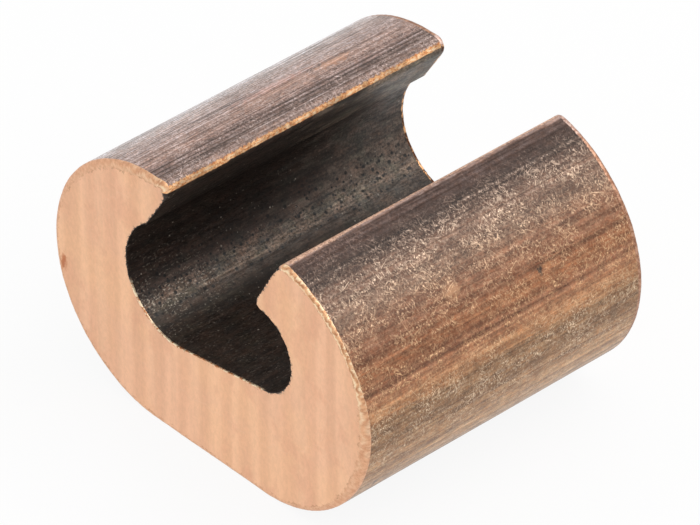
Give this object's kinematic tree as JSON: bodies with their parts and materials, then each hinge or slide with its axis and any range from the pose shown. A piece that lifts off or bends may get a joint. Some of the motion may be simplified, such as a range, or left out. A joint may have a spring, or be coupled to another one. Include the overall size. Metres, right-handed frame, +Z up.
{
  "type": "c-tap connector",
  "caption": "Sawn length of heavy copper C-profile with a large and a small wire seat and a slanted mouth, crimped to join a tap wire to a run wire.",
  "frame": {"origin": "middle of the flat base, at the centre of the box in X and Y", "axes": "+Z up through the mouth, +X across the section towards the smaller seat, +Y along the profile and both wires; the sawn end shown in the picture faces -Y"},
  "size_m": [0.02, 0.0162, 0.013],
  "materials": {
    "copper": "sawn ends bare, drawn sides tarnished brown"
  },
  "bodies": {
    "root": {"c_tap_body": "copper"}
  },
  "joints": []
}
